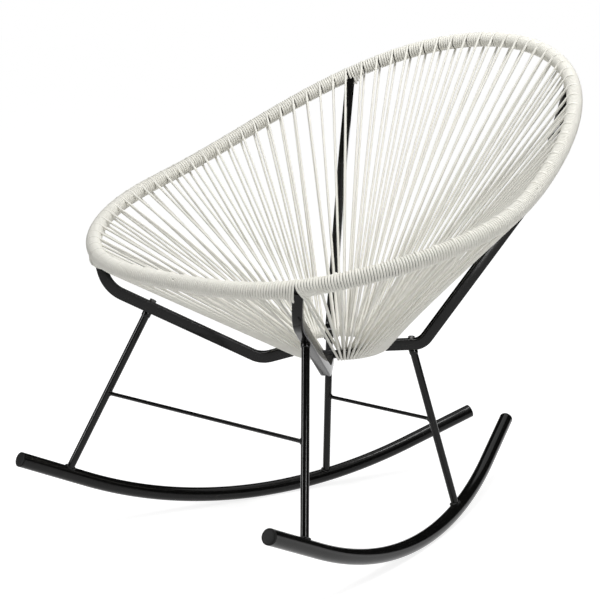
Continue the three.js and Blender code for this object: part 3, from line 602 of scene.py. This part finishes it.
def make_legs():
    """Round legs with a collar under the bow, their bolts and washers, and the beads at their feet. Collar and
    washer stand half of 16 mm from the bow's middle, so both reach a little into the bar, which is 19 mm there."""
    lines = {}
    for place, leg in LEGS.items():
        for side, hand in SIDES:
            name = place + "_" + hand
            foot, top, up = np.array(leg) * [side, 1, 1]
            lines[name] = (foot, top)
            d, up = unit(top - foot), unit(up)
            r = LEG_ROD / 2
            seat = foot + d * (ROCKER_TUBE / 2 - LEG_SUNK)
            head = top - d * (BOW_TALL / 2 + 0.2) / max(d @ up, 0.5)
            long = np.linalg.norm(head - seat)
            profile = [(0.2, 0), (r, 0), (r, long - 9.5), (r + 0.9, long - 8.8), (r + 1.1, long - 8.0),
                       (r + 1.1, long - 1.2), (r + 0.6, long - 0.3), (r - 0.4, long), (0.2, long)]
            skin("upright_" + name, [lathe(seat, head - seat, profile, 36)], PAINT,
                 replaces=["leg_" + name])
            on_bow = top + up * (BOW_TALL / 2 + 0.1)
            skin("washer_" + name, [lathe(on_bow, up, WASHER, 36)], OXIDE,
                 replaces=["leg_washer_" + name])
            skin("bolt_head_" + name, [lathe(on_bow, up, BOLT_HEAD, 6)], OXIDE, sharp=20,
                 replaces=["leg_bolt_" + name])
            path, _ = rocker_path(side)
            i = int(np.argmin(np.linalg.norm(path - foot, axis=1)))
            i = min(max(i, 1), len(path) - 2)
            bead = weld_bead(foot, d, r, path[i + 1] - path[i - 1], ROCKER_TUBE / 2, *FOOT_BEAD, side + foot[1])
            skin("foot_bead_" + name, [bead], PAINT, closed=True, replaces=["foot_weld_" + name])
    return lines


def make_stretchers(lines):
    """A rod from leg to leg in front and behind, and the beads at its ends, from the legs' lines (foot, top)."""
    for place, share in STRETCHER_SHARE.items():
        (right_foot, right_top), (left_foot, left_top) = lines[place + "_right"], lines[place + "_left"]
        right, left = right_top - right_foot, left_top - left_foot
        a, b = right_foot + right * share, left_foot + left * share
        d = unit(b - a)
        inset = d * (LEG_ROD / 2 - STRETCHER_SUNK)
        skin("cross_rod_" + place, [carry(np.array([a + inset, b - inset]), [0, 0, 1.0],
                                          circle(STRETCHER_ROD / 2, 24))],
             PAINT, replaces=["stretcher_" + place])
        for p, axis, leg, name in ((a, d, right, "_right"), (b, -d, left, "_left")):
            bead = weld_bead(p, axis, STRETCHER_ROD / 2, leg, LEG_ROD / 2, *STRETCHER_BEAD, p[1])
            skin("cross_bead_" + place + name, [bead], PAINT, closed=True,
                 replaces=["stretcher_weld_" + place + name])


make_cord()
make_rim()
make_bows()
make_rockers()
make_stretchers(make_legs())


# ---------------------------------------------------------------- floor, light and camera, in metres

FLOOR_HALF = 30.0
# strength of the white world: as light, and as camera, glossy and transmitted rays see it
WORLD_LIGHT, WORLD_SEEN = 0.4, 1.0
# lamps: place, width, height, watts, and whether it lights the chair or only shows in its gloss
LAMPS = {"left soft box": ((-1.33, -2.69, 1.1), 0.8, 1.8, 56.0, False),
         "right soft box": ((2.88, -0.85, 1.1), 0.6, 1.8, 64.0, False),
         "top strip": ((0.8, -0.1, 2.8), 0.45, 2.0, 50.0, True)}
LAMPS_AIM, STRIP_ALONG = (0, 0, 0.4), (0.69, -0.72, 0.0)
CLOTH_RADIUS, CLOTH_HEIGHTS, CLOTH_SIDES = 4.5, (0.3, 4.6), 48
# the photograph's camera, from the fit: degrees round and up, focal length and middle of the picture in its
# pixels, place in millimetres
CAMERA_TURN, CAMERA_RISE, CAMERA_FOCUS = 43.5756, 10.2816, 1639.86
PICTURE, PICTURE_MIDDLE = 600, (298.66, 298.37)
CAMERA_AT, SENSOR = np.array([1843.68, -2057.79, 890.41]), 36.0


def set_piece(name, points, faces, mat):
    """A mesh that stands round the chair."""
    mesh = bpy.data.meshes.new(name)
    mesh.from_pydata(points, [], faces)
    mesh.materials.append(mat)
    piece = bpy.data.objects.new(name, mesh)
    bpy.context.scene.collection.objects.link(piece)
    return piece


def stand(name, thing, x, y, z, at):
    """A lamp or camera in the scene with its three axes and its place."""
    o = bpy.data.objects.new(name, thing)
    bpy.context.scene.collection.objects.link(o)
    o.matrix_world = Matrix(np.stack([x, y, z, at], 1).tolist() + [[0, 0, 0, 1]])
    return o


def seen(tree):
    """1 for camera, glossy and transmitted rays, 0 for the rest."""
    path = node(tree, "ShaderNodeLightPath")
    first = node(tree, "ShaderNodeMath", [(0, path.outputs["Is Camera Ray"]), (1, path.outputs["Is Glossy Ray"])],
                 operation="MAXIMUM")
    return node(tree, "ShaderNodeMath", [(0, first.outputs[0]), (1, path.outputs["Is Transmission Ray"])],
                operation="MAXIMUM").outputs[0]


def make_floor():
    """A wide pale floor. To camera, glossy and transmitted rays a glow is added to a darker paint, which comes out
    white everywhere but in the chair's soft shadow; to all other light it is plain pale paint."""
    mat, tree, shader = material("Pale floor", Roughness=0.9, Specular_IOR_Level=0.0, Base_Color=(0.9, 0.9, 0.9, 1))
    glow = node(tree, "ShaderNodeEmission", [("Strength", 0.8)])
    grey = node(tree, "ShaderNodeBsdfDiffuse", [("Color", (0.5, 0.5, 0.5, 1))])
    both = node(tree, "ShaderNodeAddShader", [(0, grey.outputs["BSDF"]), (1, glow.outputs["Emission"])])
    pick = node(tree, "ShaderNodeMixShader", [(0, seen(tree)), (1, shader.outputs["BSDF"]), (2, both.outputs[0])])
    tree.links.new(pick.outputs[0], tree.nodes["Material Output"].inputs["Surface"])
    s = FLOOR_HALF
    floor = set_piece("floor", [(-s, -s, 0), (s, -s, 0), (s, s, 0), (-s, s, 0)], [(0, 1, 2, 3)], mat)


def make_light():
    """A bright even world, a long lamp overhead, and two upright soft boxes that only reflections see."""
    world = bpy.data.worlds.new("studio")
    world.use_nodes = True
    bpy.context.scene.world = world
    tree = world.node_tree
    back = tree.nodes["Background"]
    back.inputs["Color"].default_value = (1, 1, 1, 1)
    level = node(tree, "ShaderNodeMapRange", [("Value", seen(tree)), ("To Min", WORLD_LIGHT), ("To Max", WORLD_SEEN)])
    tree.links.new(level.outputs["Result"], back.inputs["Strength"])
    for name, (at, wide, tall, power, lights) in LAMPS.items():
        lamp = bpy.data.lights.new(name, "AREA")
        lamp.energy, lamp.shape, lamp.size, lamp.size_y = power, "RECTANGLE", wide, tall
        z = unit(np.subtract(at, LAMPS_AIM))
        x = unit(np.cross(STRIP_ALONG if lights else (0, 0, 1), z))
        stand(name, lamp, x, np.cross(z, x), z, at).visible_diffuse = lights


def make_black_cloth():
    """Black cloth hung all round, from near the floor to above the lamps, open at the top: only reflections see it.
    It keeps the sides of the black tubes dark, between the white of the floor below and of the open top."""
    mat, _, _ = material("Black cloth", Roughness=1.0, Specular_IOR_Level=0.0, Base_Color=(0, 0, 0, 1))
    ring = circle(CLOTH_RADIUS, CLOTH_SIDES)
    points = np.vstack([np.column_stack([ring, np.full(CLOTH_SIDES, z)]) for z in CLOTH_HEIGHTS])
    i = np.arange(CLOTH_SIDES)
    j = (i + 1) % CLOTH_SIDES
    cloth = set_piece("black cloth", points, np.stack([i, j, j + CLOTH_SIDES, i + CLOTH_SIDES], 1).tolist(), mat)
    cloth.visible_camera = cloth.visible_diffuse = cloth.visible_shadow = False


def make_camera():
    """The photograph's camera. It looks along (-sin a cos e, cos a cos e, -sin e), where a is its turn round the
    chair and e its rise above it."""
    a, e = math.radians(CAMERA_TURN), math.radians(CAMERA_RISE)
    forward = np.array([-math.sin(a) * math.cos(e), math.cos(a) * math.cos(e), -math.sin(e)])
    right = np.array([math.cos(a), math.sin(a), 0])
    camera = bpy.data.cameras.new("camera")
    camera.sensor_width, camera.sensor_fit = SENSOR, "HORIZONTAL"
    camera.lens = CAMERA_FOCUS * SENSOR / PICTURE
    camera.shift_x = (PICTURE / 2 - PICTURE_MIDDLE[0]) / PICTURE
    camera.shift_y = (PICTURE_MIDDLE[1] - PICTURE / 2) / PICTURE
    camera.clip_end = 100
    at = (CAMERA_AT - MIDDLE) / 1000
    bpy.context.scene.camera = stand("camera", camera, right, np.cross(right, forward), -forward, at)


make_floor()
make_light()
make_black_cloth()
make_camera()
bpy.context.scene.view_settings.view_transform = "Standard"
